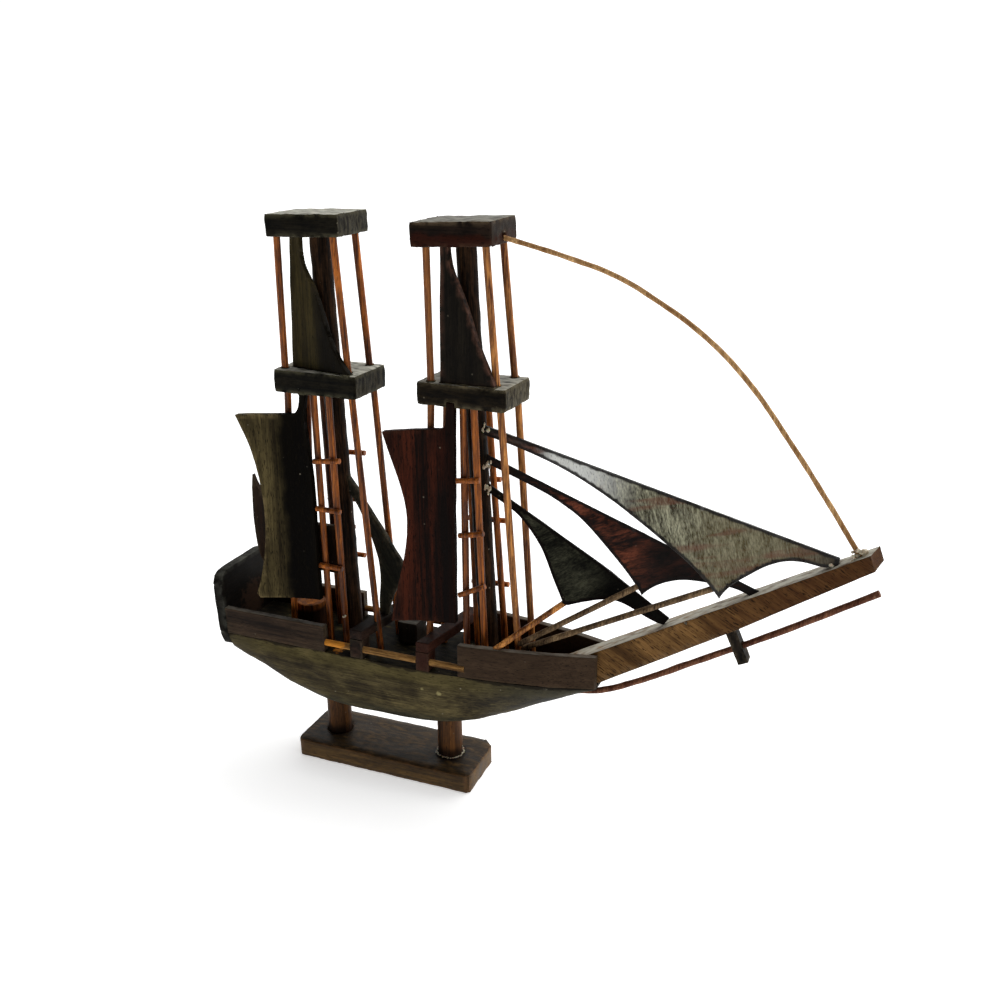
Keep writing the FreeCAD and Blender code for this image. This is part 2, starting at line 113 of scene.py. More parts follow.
def turnedBy(tree, vector, degrees):
    angles = [math.radians(a) for a in degrees]
    return addNode(tree, "ShaderNodeMapping", {"Vector": vector, "Rotation": angles}).outputs[0]


def newGroup(name, inputs, outputs):
    tree = bpy.data.node_groups.new(name, "ShaderNodeTree")
    for label, kind in inputs:
        tree.interface.new_socket(label, in_out="INPUT", socket_type="NodeSocket" + kind)
    for label, kind in outputs:
        tree.interface.new_socket(label, in_out="OUTPUT", socket_type="NodeSocket" + kind)
    entry = tree.nodes.new("NodeGroupInput")
    leave = tree.nodes.new("NodeGroupOutput")
    return tree, entry.outputs, leave


def useGroup(tree, group, inputs):
    node = tree.nodes.new("ShaderNodeGroup")
    node.node_tree = group
    for key, value in inputs.items():
        if isinstance(value, bpy.types.NodeSocket):
            tree.links.new(value, node.inputs[key])
        else:
            node.inputs[key].default_value = value
    return node.outputs


# each noise: swells per metre along X, Y and Z, detail, distortion, roughness
# each edge: where the effect starts and where it is full
grainLook = {"fine": ((2600, 2600, 90), 3.0, 0.2, 0.6), "broad": ((420, 420, 14), 3.0, 0.8),
             "cloud": ((150, 150, 75), 6.0, 0.3, 0.66), "pore": ((3600, 3600, 480), 2.0),
             "poreEdge": (0.57, 0.66), "contrast": 1.6,
             "fineHigh": 0.6, "broadHigh": 0.5, "poreDeep": 0.7}


def makeGrain():
    # grain runs along the vector's Z; Tone 0 dark wood to 1 light, Pore 1 in a pore
    tree, given, leave = newGroup(
        "woodGrain",
        [("Vector", "Vector"), ("Fine", "Float"), ("Broad", "Float"), ("Cloud", "Float"), ("Pores", "Float")],
        [("Tone", "Float"), ("Pore", "Float"), ("Height", "Float")])
    fine, broad, cloud, pore = [noiseAt(tree, given["Vector"], *grainLook[kind])
                                for kind in ("fine", "broad", "cloud", "pore")]
    tone = swing(tree, fine, given["Fine"])
    tone = maths(tree, "ADD", tone, swing(tree, broad, given["Broad"]))
    tone = maths(tree, "ADD", tone, swing(tree, cloud, given["Cloud"]))
    tone = maths(tree, "POWER", maths(tree, "ADD", tone, 0.5, True), grainLook["contrast"])
    pits = maths(tree, "MULTIPLY", stepped(tree, pore, *grainLook["poreEdge"]), given["Pores"])
    high = maths(tree, "ADD", maths(tree, "MULTIPLY", fine, grainLook["fineHigh"]),
                 maths(tree, "MULTIPLY", broad, grainLook["broadHigh"]))
    high = maths(tree, "SUBTRACT", high, maths(tree, "MULTIPLY", pits, grainLook["poreDeep"]))
    tree.links.new(tone, leave.inputs["Tone"])
    tree.links.new(pits, leave.inputs["Pore"])
    tree.links.new(high, leave.inputs["Height"])
    return tree


wearLook = {"patch": ((380, 380, 380), 4.0), "edge": (0.3, 0.62)}


def makeWear():
    # 1 where an edge is rubbed, from the rim attribute broken up by noise
    tree, given, leave = newGroup(
        "edgeWear", [("Vector", "Vector"), ("Rim", "Float"), ("Amount", "Float")], [("Mask", "Float")])
    patch = noiseAt(tree, given["Vector"], *wearLook["patch"])
    worn = maths(tree, "MULTIPLY", given["Rim"], stepped(tree, patch, *wearLook["edge"]))
    tree.links.new(maths(tree, "MULTIPLY", worn, given["Amount"], True), leave.inputs["Mask"])
    return tree


dustAndShadeLook = {"patch": ((300, 700, 300), 5.0), "edge": (0.2, 0.65), "upFacing": (0.55, 0.95)}


def makeDustAndShade():
    # lies in patches on what faces up; the woods use it for dust and for painted shade on the upper side
    tree, given, leave = newGroup(
        "topDustAndShade", [("Vector", "Vector"), ("Normal", "Vector"), ("Amount", "Float")], [("Mask", "Float")])
    up = addNode(tree, "ShaderNodeSeparateXYZ", {0: given["Normal"]}).outputs[2]
    patch = noiseAt(tree, given["Vector"], *dustAndShadeLook["patch"])
    lies = maths(tree, "MULTIPLY", stepped(tree, up, *dustAndShadeLook["upFacing"]),
                 stepped(tree, patch, *dustAndShadeLook["edge"]))
    tree.links.new(maths(tree, "MULTIPLY", lies, given["Amount"], True), leave.inputs["Mask"])
    return tree


endLook = {"lightBreakup": ((500, 900, 260), 5.0, 0.6, 0.6), "edge": (0.36, 0.64), "bowFacing": (0.7, 0.9)}


def makeBowFacingLight():
    # paler fore ends of the blocks: painted light on the bow-facing faces, broken up in streaks
    tree, given, leave = newGroup(
        "bowFacingLight", [("Vector", "Vector"), ("Normal", "Vector"), ("Amount", "Float")], [("Mask", "Float")])
    across = addNode(tree, "ShaderNodeSeparateXYZ", {0: given["Normal"]}).outputs[0]
    lightBreakup = noiseAt(tree, given["Vector"], *endLook["lightBreakup"])
    lies = maths(tree, "MULTIPLY", stepped(tree, across, *endLook["bowFacing"]),
                 stepped(tree, lightBreakup, *endLook["edge"]))
    tree.links.new(maths(tree, "MULTIPLY", lies, given["Amount"], True), leave.inputs["Mask"])
    return tree


speckLook = {"perMetre": 420.0, "dot": (0.15, 0.05), "chosen": (0.78, 0.9)}


def makeSpecks():
    # small pale flecks of dust and glue, in a few of the cells
    tree, given, leave = newGroup(
        "paleSpecks", [("Vector", "Vector"), ("Amount", "Float")], [("Mask", "Float")])
    cells = addNode(tree, "ShaderNodeTexVoronoi",
                    {"Vector": given["Vector"], "Scale": speckLook["perMetre"], "Randomness": 1.0})
    red = addNode(tree, "ShaderNodeSeparateColor", {0: cells.outputs["Color"]}).outputs[0]
    near = stepped(tree, cells.outputs["Distance"], *speckLook["dot"])
    mask = maths(tree, "MULTIPLY", near, stepped(tree, red, *speckLook["chosen"]))
    tree.links.new(maths(tree, "MULTIPLY", mask, given["Amount"], True), leave.inputs["Mask"])
    return tree


patchLook = {"noise": ((700, 700, 700), 4.0), "ragged": 1.6, "edge": (1.0, 0.55)}


def makePatch():
    # a ragged patch round a place: stains and chips, and painted pools of light on the transom, deck and rail
    tree, given, leave = newGroup(
        "patchAt", [("Vector", "Vector"), ("Place", "Vector"), ("Radius", "Float"), ("Amount", "Float")],
        [("Mask", "Float")])
    away = addNode(tree, "ShaderNodeVectorMath", {0: given["Vector"], 1: given["Place"]},
                   operation="DISTANCE").outputs["Value"]
    share = maths(tree, "DIVIDE", away, given["Radius"])
    ragged = swing(tree, noiseAt(tree, given["Vector"], *patchLook["noise"]), patchLook["ragged"])
    mask = stepped(tree, maths(tree, "ADD", share, ragged), *patchLook["edge"])
    tree.links.new(maths(tree, "MULTIPLY", mask, given["Amount"], True), leave.inputs["Mask"])
    return tree


grain = makeGrain()
edgeWear = makeWear()
topDustAndShade = makeDustAndShade()
bowFacingLight = makeBowFacingLight()
paleSpecks = makeSpecks()
patchAt = makePatch()


# turn lays the grain along another axis, in degrees; upper is painted shade on what faces up, ends is painted
# light on the fore ends facing the bow, line the rim: colour, where it starts and is full
plain = {
    "turn": (0, 0, 0), "fine": 1.1, "broad": 1.3, "cloud": 1.0, "pores": 0.5, "rough": 0.5, "gloss": 0.04,
    "wear": 0.4, "worn": hue(96, 86, 68), "dust": 0.0, "specks": 0.15, "bump": 0.6, "bands": [],
    "spots": [], "veins": None, "upper": None, "ends": None, "line": None,
}
alongX = (0, 90, 0)
alongY = (90, 0, 0)
darkRim = {"wear": 0.0, "line": (hue(16, 11, 9), 0.12, 0.4)}
# height below which the drum is darkened as painted shade
drumShadeTop = 49.6
bowChips = [((x, y, z), size, hue(150, 144, 124), 0.75) for x, y, z, size in (
    (53.4, -10.0, 40.9, 0.9), (56.2, -9.6, 41.3, 0.7), (58.8, -9.1, 41.8, 0.8), (61.9, -8.5, 42.5, 0.8))]
# bands: axis, where it starts, where it is full (mm), colour, strength
# spots: place (mm), radius (mm), colour, strength; veins: turn of their run, colour, strength
finishes = {
    "baseWood": {
        "turn": alongX, "dark": hue(50, 35, 17), "light": hue(122, 92, 50), "wear": 0.8, "cloud": 1.3,
        "worn": hue(108, 75, 44), "pores": 0.5, "gloss": 0.12, "rough": 0.42,
        # upper darkens the top as painted shade, against the light from above
        "upper": (hue(30, 23, 13), 0.9),
        "spots": [((18.9, -1.0, 6.5), 7.5, hue(16, 10, 8), 0.85),
                  ((-20.3, -1.0, 6.5), 6.5, hue(20, 13, 10), 0.7)],
    },
    "postWood": {
        "dark": hue(40, 24, 12), "light": hue(116, 74, 36), "pores": 0.5, "gloss": 0.12, "broad": 1.8,
        "bands": [(2, 10.5, 7.5, hue(20, 12, 8), 0.8), (2, 18, 24, hue(30, 18, 11), 0.7)],
    },
    "hullWood": {
        "turn": alongX, "dark": hue(34, 28, 20), "light": hue(104, 93, 62), "fine": 1.3, "broad": 0.6,
        # upper darkens the deck and the other up-facing faces as painted shade
        "cloud": 2.0, "pores": 0.5, "gloss": 0.03, "specks": 0.4, "upper": (hue(8, 7, 5), 0.98),
        # the lighter olive strip just below the deck edge is a painted highlight; the dark band at deck
        # height is painted shade on the deck
        "bands": [(2, 35.0, 39.0, hue(108, 98, 56), 0.3), (0, 22, 60, hue(38, 43, 48), 0.65),
                  (0, -36, -50, hue(56, 50, 40), 0.5), (2, 27, 20, hue(50, 58, 56), 0.4),
                  (2, 40.6, 41.3, hue(26, 21, 17), 0.8)],
        "spots": [((16.1, -12.9, 35.3), 0.9, hue(150, 140, 96), 0.85),
                  ((21.2, -12.8, 34.6), 1.1, hue(150, 140, 96), 0.85),
                  # the orange spot on the deck by the ladder foot is a painted pool of light
                  ((-12.8, -11.2, 42.2), 2.2, hue(190, 124, 46), 0.85)] + bowChips,
    },
    "plankWood": {
        "turn": alongX, "dark": hue(24, 17, 14), "light": hue(80, 64, 50), "broad": 1.4, "dust": 0.15,
        "bands": [(0, 20, 30, hue(66, 50, 36), 0.5)],
        "spots": bowChips,
    },
    "transomWood": {
        "turn": alongY, "dark": hue(5, 4, 3), "light": hue(26, 20, 15), "wear": 0.8,
        "worn": hue(88, 88, 80), "dust": 0.06,
        # the paler arched spot on the inner face is a painted pool of light
        "spots": [((-51.5, 1.5, 47.0), 7.5, hue(54, 38, 28), 0.55)],
    },
    "frameWood": {
        "turn": alongY, "dark": hue(14, 10, 8), "light": hue(58, 42, 34), "broad": 1.8,
        # upper darkens what faces up as painted shade
        "upper": (hue(20, 15, 12), 0.7),
        "bands": [(0, 5, 10, hue(66, 34, 24), 0.5)],
    },
    "railWood": {
        "turn": alongX, "dark": hue(64, 42, 22), "light": hue(184, 138, 80), "fine": 1.4, "wear": 0.0,
        # the bright orange spot is a painted pool of light, beside the one on the deck
        "spots": [((-13.0, -12.8, 43.5), 5.5, hue(214, 138, 50), 0.85)],
    },
    "drumWood": {
        "dark": hue(60, 30, 10), "light": hue(168, 100, 42), "broad": 1.8, "wear": 0.3,
        # painted shade over the drum's lower part
        "bands": [(2, drumShadeTop, drumShadeTop - 1.5, hue(16, 11, 9), 0.9)],
    },
    "mastWood": {
        "dark": hue(8, 5, 3), "light": hue(55, 37, 23), "fine": 2.4, "broad": 1.6, "cloud": 3.0,
        "specks": 0.4, "bump": 1.2,
    },
    "blockWood": {
        "turn": alongX, "dark": hue(3, 3, 2), "light": hue(28, 25, 18), "fine": 1.8, "broad": 1.8,
        "cloud": 3.6, "wear": 0.9, "worn": hue(84, 80, 62), "dust": 0.85, "specks": 0.2,
        # ends: painted light on the bow-facing faces
        "ends": (hue(66, 62, 50), 0.8),
    },
    "foreTopBlockWood": {
        "turn": alongX, "dark": hue(8, 5, 4), "light": hue(36, 26, 20), "fine": 1.8, "cloud": 3.0,
        # ends: painted light on the bow-facing faces
        "wear": 1.4, "worn": hue(84, 70, 54), "dust": 0.45, "specks": 0.2, "ends": (hue(44, 36, 28), 0.7),
        "bands": [(2, 167.0, 165.6, hue(46, 16, 6), 0.75)],
    },
    "foreMidBlockWood": {
        "turn": alongX, "dark": hue(8, 6, 4), "light": hue(35, 28, 18), "fine": 1.8, "cloud": 3.8,
        # ends: painted light on the bow-facing faces
        "wear": 0.8, "worn": hue(104, 94, 72), "dust": 0.55, "specks": 0.3, "ends": (hue(86, 80, 64), 0.9),
        "spots": [((38.5, -6.0, 120.0), 3.5, hue(104, 98, 80), 0.8)],
    },
    "darkBamboo": {
        "dark": hue(58, 23, 5), "light": hue(188, 106, 38), "fine": 2.0, "broad": 2.2, "wear": 0.0,
        "rough": 0.42, "gloss": 0.2, "specks": 0.1,
    },
    "bamboo": {
        "dark": hue(80, 38, 12), "light": hue(222, 150, 78), "fine": 2.0, "broad": 2.2, "wear": 0.0,
        "rough": 0.42, "gloss": 0.2, "specks": 0.1,
        "bands": [(0, 24, 19, hue(104, 52, 18), 0.65)],
    },
    "greyBamboo": {
        "dark": hue(56, 42, 30), "light": hue(150, 124, 92), "fine": 1.8, "wear": 0.0,
    },
    "redBamboo": {
        "dark": hue(70, 38, 27), "light": hue(146, 102, 76), "fine": 1.6, "wear": 0.0,
    },
    "stayBamboo": {
        "dark": hue(128, 90, 54), "light": hue(218, 176, 122), "fine": 1.6, "wear": 0.0,
    },
    "foreCourseWood": {
        "dark": hue(12, 5, 3), "light": hue(66, 29, 17), "fine": 1.2, "broad": 2.6, "pores": 0.8,
        "specks": 0.3, "wear": 0.5, "worn": hue(84, 50, 36),
        # the near-black band along the fore part is painted shade
        "bands": [(0, 17, 24, hue(9, 4, 3), 0.85)],
    },
    "aftCourseWood": {
        "dark": hue(34, 28, 18), "light": hue(94, 83, 54), "broad": 1.4, "pores": 0.8, "specks": 0.4,
        "wear": 0.9, "worn": hue(128, 112, 78), "gloss": 0.02,
        # the near-black band over the fore part is painted shade
        "bands": [(0, -32.5, -28.0, hue(4, 3, 3), 0.98)],
    },
    "aftTopsailWood": {
        "dark": hue(28, 23, 12), "light": hue(70, 61, 34), "broad": 1.2,
        # the dark band over the fore part is painted shade
        "bands": [(0, -20, -14, hue(9, 7, 5), 0.9)],
    },
    "foreTopsailWood": {
        "dark": hue(9, 7, 5), "light": hue(36, 31, 24), "broad": 1.2, "wear": 1.0, "worn": hue(90, 62, 50),
    },
    "outerJibWood": {
        "turn": (0, 14, 0), "dark": hue(54, 50, 34), "light": hue(188, 186, 156), "fine": 2.2, "broad": 1.4,
        "cloud": 1.1, "pores": 0.4, "rough": 0.26, "gloss": 0.5, "bump": 1.0, **darkRim,
        # the pale silver band near the head is a painted highlight, the varnish's sheen
        "bands": [(0, 78, 58, hue(252, 254, 250), 0.8), (0, 84, 100, hue(112, 100, 66), 0.5),
                  (0, 52, 45, hue(28, 13, 9), 0.96), (0, 116, 126, hue(50, 36, 27), 0.75)],
        "veins": ((0, 104, 0), hue(110, 68, 50), 0.65),
    },
    "middleJibWood": {
        "turn": (0, 110, 0), "dark": hue(18, 8, 6), "light": hue(128, 68, 46), "fine": 1.4, "broad": 2.6,
        "gloss": 0.2, **darkRim,
        "bands": [(0, 72, 82, hue(10, 8, 8), 0.85), (0, 56, 46, hue(16, 10, 8), 0.8)],
    },
    "innerJibWood": {
        "turn": (0, 120, 0), "dark": hue(14, 14, 11), "light": hue(72, 72, 58), "fine": 1.4, "cloud": 1.6,
        "specks": 0.6, **darkRim,
        "bands": [(0, 62, 70, hue(8, 7, 7), 0.9)],
    },
    "staysailWood": {
        "turn": (0, 30, 0), "dark": hue(9, 9, 7), "light": hue(40, 39, 29), "wear": 0.6,
    },
    "spankerWood": {
        "dark": hue(20, 13, 9), "light": hue(56, 38, 26),
    },
    "spritWood": {
        "turn": (0, 60, 0), "dark": hue(66, 44, 22), "light": hue(158, 118, 70), "fine": 1.0, "broad": 1.2,
        "cloud": 1.4, "pores": 1.0, "wear": 0.35, "worn": hue(150, 134, 108), "dust": 0.95, "specks": 0.2,
        "bands": [(0, 84, 118, hue(62, 33, 15), 0.78)],
    },
    "strikerWood": {
        "dark": hue(10, 8, 6), "light": hue(44, 36, 30), "wear": 0.8,
    },
    "hatchWood": {
        "dark": hue(14, 12, 9), "light": hue(48, 38, 29), "dust": 0.1,
    },
}


# shared by every wood; ragged and bumpDepth in mm
timberLook = {"soft": ((160, 160, 160), 2.0), "ragged": 3.5, "vein": ((300, 300, 12), 3.0, 0.5),
              "veinEdge": (0.52, 0.68), "poreDark": 0.35, "lineStrength": 0.95, "toneRough": 0.16,
              "dustRough": 0.2, "dust": hue(196, 194, 180), "speck": hue(170, 160, 140), "bumpDepth": 0.12}


def timber(name):
    look = {**plain, **finishes[name]}
    material = bpy.data.materials.new(name)
    material.use_nodes = True
    tree = material.node_tree
    shader = tree.nodes["Principled BSDF"]
    place = addNode(tree, "ShaderNodeTexCoord").outputs["Object"]
    figure = useGroup(tree, grain, {"Vector": turnedBy(tree, place, look["turn"]), "Fine": look["fine"],
                                    "Broad": look["broad"], "Cloud": look["cloud"], "Pores": look["pores"]})
    colour = blended(tree, figure["Tone"], look["dark"], look["light"])
    rim = addNode(tree, "ShaderNodeAttribute", attribute_name="rim").outputs["Fac"]
    worn = useGroup(tree, edgeWear, {"Vector": place, "Rim": rim, "Amount": look["wear"]})["Mask"]
    colour = blended(tree, worn, colour, look["worn"])
    ragged = swing(tree, noiseAt(tree, place, *timberLook["soft"]), timberLook["ragged"] * mm)
    parts = addNode(tree, "ShaderNodeSeparateXYZ", {0: place}).outputs
    for axis, start, full, tint, strength in look["bands"]:
        along = maths(tree, "ADD", parts[axis], ragged)
        colour = blended(tree, stepped(tree, along, start * mm, full * mm, strength), colour, tint)
    if look["veins"]:
        turn, tint, strength = look["veins"]
        run = noiseAt(tree, turnedBy(tree, place, turn), *timberLook["vein"])
        colour = blended(tree, stepped(tree, run, *timberLook["veinEdge"], strength), colour, tint)
    normal = addNode(tree, "ShaderNodeNewGeometry").outputs["Normal"]
    # upper paints shade on what faces up; ends paints light on the fore ends facing the bow
    for side, group in (("upper", topDustAndShade), ("ends", bowFacingLight)):
        if look[side]:
            tint, strength = look[side]
            mask = useGroup(tree, group, {"Vector": place, "Normal": normal, "Amount": strength})["Mask"]
            colour = blended(tree, mask, colour, tint)
    for spot, radius, tint, strength in look["spots"]:
        inputs = {"Vector": place, "Place": [c * mm for c in spot], "Radius": radius * mm, "Amount": strength}
        colour = blended(tree, useGroup(tree, patchAt, inputs)["Mask"], colour, tint)
    black = [c * timberLook["poreDark"] for c in look["dark"][:3]] + [1.0]
    colour = blended(tree, figure["Pore"], colour, black)
    if look["line"]:
        tint, low, high = look["line"]
        colour = blended(tree, stepped(tree, rim, low, high, timberLook["lineStrength"]), colour, tint)
    dust = useGroup(tree, topDustAndShade, {"Vector": place, "Normal": normal, "Amount": look["dust"]})["Mask"]
    colour = blended(tree, dust, colour, timberLook["dust"])
    specks = useGroup(tree, paleSpecks, {"Vector": place, "Amount": look["specks"]})["Mask"]
    colour = blended(tree, specks, colour, timberLook["speck"])
    tree.links.new(colour, shader.inputs["Base Color"])
    rough = maths(tree, "MULTIPLY", figure["Tone"], timberLook["toneRough"])
    rough = maths(tree, "ADD", rough, look["rough"])
    rough = maths(tree, "ADD", rough, maths(tree, "MULTIPLY", dust, timberLook["dustRough"]), True)
    tree.links.new(rough, shader.inputs["Roughness"])
    shader.inputs["Specular IOR Level"].default_value = look["gloss"]
    bump = addNode(tree, "ShaderNodeBump", {"Strength": look["bump"], "Height": figure["Height"],
                                            "Distance": timberLook["bumpDepth"] * mm})
    tree.links.new(bump.outputs[0], shader.inputs["Normal"])
    return material


woods = {}


def wood(name):
    if name not in woods:
        woods[name] = timber(name)
    return woods[name]


# bumpDepth and through (how far light goes in) in mm
glueLook = {"dark": hue(110, 92, 66), "light": hue(226, 214, 186), "cloud": ((900, 900, 900), 4.0),
            "rough": 0.25, "cloudRough": 0.3, "bump": 0.5, "bumpDepth": 0.15, "waxy": 0.15, "through": 0.6}


def makeGlue():
    material = bpy.data.materials.new("driedGlue")
    material.use_nodes = True
    tree = material.node_tree
    shader = tree.nodes["Principled BSDF"]
    place = addNode(tree, "ShaderNodeTexCoord").outputs["Object"]
    cloud = noiseAt(tree, place, *glueLook["cloud"])
    tree.links.new(blended(tree, cloud, glueLook["dark"], glueLook["light"]), shader.inputs["Base Color"])
    rough = maths(tree, "ADD", maths(tree, "MULTIPLY", cloud, glueLook["cloudRough"]), glueLook["rough"])
    tree.links.new(rough, shader.inputs["Roughness"])
    bump = addNode(tree, "ShaderNodeBump", {"Strength": glueLook["bump"],
                                            "Distance": glueLook["bumpDepth"] * mm, "Height": cloud})
    tree.links.new(bump.outputs[0], shader.inputs["Normal"])
    shader.inputs["Subsurface Weight"].default_value = glueLook["waxy"]
    shader.inputs["Subsurface Scale"].default_value = glueLook["through"] * mm
    return material


driedGlue = makeGlue()


def finished(bm, name, material, node=None, angle=38):
    # bmesh to a piece on the body, standing for its CAD node
    bmesh.ops.recalc_face_normals(bm, faces=bm.faces)
    mesh = bpy.data.meshes.new(name)
    bm.to_mesh(mesh)
    bm.free()
    mesh.polygons.foreach_set("use_smooth", [True] * len(mesh.polygons))
    mesh.set_sharp_from_angle(angle=math.radians(angle))
    mesh.materials.append(material)
    piece = bpy.data.objects.new(name, mesh)
    bpy.context.scene.collection.objects.link(piece)
    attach(piece, "root")
    if node:
        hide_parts(node)
    return piece


mergeGap = 0.002 * mm        # corners closer than this become one


def merged(mesh):
    bm = bmesh.new()
    bm.from_mesh(mesh)
    bmesh.ops.remove_doubles(bm, verts=bm.verts, dist=mergeGap)
    return bm


def cadCopy(node, flat=0.6):
    # flat: faces that meet at less than this, in degrees, are made one
    bm = merged(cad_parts[node].data)
    bmesh.ops.dissolve_limit(bm, angle_limit=math.radians(flat), verts=bm.verts, edges=bm.edges,
                             use_dissolve_boundaries=False)
    return bm


def sharpEdges(bm, angle):
    return [e for e in bm.edges if len(e.link_faces) == 2 and e.calc_face_angle(0.0) > math.radians(angle)]


def rimTree(edges, spacing=0.5 * mm):
    # points along the given edges, to measure how near an edge a vertex is
    spots = []
    for e in edges:
        a, b = e.verts[0].co.copy(), e.verts[1].co.copy()
        count = max(1, int((b - a).length / spacing))
        spots += [a.lerp(b, i / count) for i in range(count + 1)]
    tree = kdtree.KDTree(max(1, len(spots)))
    for i, spot in enumerate(spots):
        tree.insert(spot, i)
    tree.balance()
    return tree, bool(spots)


def sliced(bm, steps, lead=0.37):
    # planes across X, Y and Z, so that the surface has vertices to work
    for axis, step in enumerate(steps):
        if not step:
            continue
        spread = [v.co[axis] for v in bm.verts]
        low, high = min(spread), max(spread)
        normal = Vector([1.0 if i == axis else 0.0 for i in range(3)])
        at = low + step * mm * lead
        while at < high - 0.1 * mm:
            bmesh.ops.bisect_plane(bm, geom=bm.verts[:] + bm.edges[:] + bm.faces[:], dist=0.0005 * mm,
                                   plane_co=normal * at, plane_no=normal)
            at += step * mm


# finer strokes: their share and size against the broad ones; lean: how much more is cut away than left
knife = {"fineShare": 0.45, "fineSize": 0.3, "lean": 0.55}


def handCut(bm, amount, size, seed):
    # uneven knife and sandpaper work, amount and size in mm
    bm.normal_update()
    shift = Vector((seed * 3.1, seed * 1.7, seed * 2.3))
    moves = []
    for v in bm.verts:
        broad = noise.noise(v.co / (size * mm) + shift)
        fine = noise.noise(v.co / (size * knife["fineSize"] * mm) + shift)
        wave = broad + knife["fineShare"] * fine
        moves.append(v.normal * (wave - knife["lean"]) * amount * mm)
    for v, move in zip(bm.verts, moves):
        v.co += move


# ease: how far edges over angle (degrees) are rounded, in so many segments
# steps: how close the cuts across X, Y and Z are, 0 for none; amount, size: depth and width of the knife work
# rim: how far in from an edge it is rubbed; worn: how far rubbed corners are pushed in; all lengths in mm
plainCut = {"ease": 0.3, "angle": 28, "segments": 2, "steps": (2, 0, 2), "amount": 0.1, "size": 6.0,
            "rim": 0.9, "worn": 0.0}
rubbedAngle = 8        # degrees; a convex edge over this is rubbed where the cut says worn


def carve(node, finish, cut, seed):
    cut = {**plainCut, **cut}
    bm = cadCopy(node)
    edges = sharpEdges(bm, cut["angle"])
    rubbed = [e for e in sharpEdges(bm, rubbedAngle) if e.is_convex] if cut["worn"] else edges
    rims, found = rimTree(rubbed)
    if edges:
        bmesh.ops.bevel(bm, geom=edges, offset=cut["ease"] * mm, offset_type="OFFSET", affect="EDGES",
                        segments=cut["segments"], profile=0.5, material=-1, clamp_overlap=True)
    sliced(bm, cut["steps"])
    layer = bm.verts.layers.float.new("rim")
    for v in bm.verts:
        away = rims.find(v.co)[2] if found else 1.0
        v[layer] = max(0.0, 1.0 - away / (cut["rim"] * mm)) ** 1.5
    bm.normal_update()
    pushes = [v.normal * v[layer] * cut["worn"] * mm for v in bm.verts]
    for v, push in zip(bm.verts, pushes):
        v.co -= push
    handCut(bm, cut["amount"], cut["size"], seed)
    bmesh.ops.triangulate(bm, faces=[f for f in bm.faces if len(f.verts) > 4])
    return finished(bm, node + "_carved", wood(finish), node)


endDepth = 0.25 * mm        # corners this near the end of a stick belong to its end face


def islands(node):
    # both ends of each straight stick in a node
    bm = merged(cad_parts[node].data)
    unseen = set(bm.verts)
    found = []
    while unseen:
        group = [unseen.pop()]
        for v in group:
            for e in v.link_edges:
                other = e.other_vert(v)
                if other in unseen:
                    unseen.discard(other)
                    group.append(other)
        spots = [v.co.copy() for v in group]
        middle = sum(spots, Vector()) / len(spots)
        one = max(spots, key=lambda p: (p - middle).length)
        two = max(spots, key=lambda p: (p - one).length)
        axis = (two - one).normalized()
        reach = sorted(spots, key=lambda p: p.dot(axis))
        low, high = reach[0].dot(axis), reach[-1].dot(axis)
        head = [p for p in spots if p.dot(axis) < low + endDepth]
        tail = [p for p in spots if p.dot(axis) > high - endDepth]
        found.append((sum(head, Vector()) / len(head), sum(tail, Vector()) / len(tail)))
    bm.free()
    return sorted(found, key=lambda pair: (round(pair[0].y, 4), pair[0].x))


# sides round it, mm between its rings, mean size against the CAD one, depth of the flats and the swellings
split = {"sides": 14, "rung": 4, "size": 0.95, "flat": 0.05, "swell": 0.04}


def stickInto(bm, start, end, radius, seed):
    # one split-bamboo stick: slightly out of round, with long flats and faint swellings
    length = (end - start).length
    rungs = max(2, int(length / (split["rung"] * mm)))
    ring = bmesh.ops.create_circle(bm, segments=split["sides"], radius=radius * mm, cap_ends=True)["verts"]
    bmesh.ops.translate(bm, verts=ring, vec=(0, 0, -length / 2))
    face = ring[0].link_faces[0]
    made = list(ring)
    for i in range(rungs):
        grown = bmesh.ops.extrude_face_region(bm, geom=[face])["geom"]
        level = [v for v in grown if isinstance(v, bmesh.types.BMVert)]
        if i:
            bmesh.ops.delete(bm, geom=[face], context="FACES_ONLY")
        face = next(f for f in grown if isinstance(f, bmesh.types.BMFace))
        bmesh.ops.translate(bm, verts=level, vec=(0, 0, length / rungs))
        made += level
    place = Matrix.Translation((start + end) / 2) @ (end - start).to_track_quat("Z", "Y").to_matrix().to_4x4()
    for v in made:
        turn = math.atan2(v.co.y, v.co.x)
        flat = noise.noise(Vector((math.cos(turn) * 1.4, math.sin(turn) * 1.4, v.co.z * 30 + seed * 5.3)))
        swell = noise.noise(Vector((seed * 2.7, 0.0, v.co.z * 70)))
        scale = split["size"] + split["flat"] * flat + split["swell"] * swell
        v.co = place @ Vector((v.co.x * scale, v.co.y * scale, v.co.z))


def makeSticks(node, finish, radius, seed):
    bm = bmesh.new()
    for i, (start, end) in enumerate(islands(node)):
        stickInto(bm, start, end, radius, seed + i)
    return finished(bm, node + "_sticks", wood(finish), node)


# steps from one place to the next, roundness, depth of the knife work against the radius, its size in mm
bend = {"steps": 10, "sides": 3, "rough": 0.12, "size": 3.0}


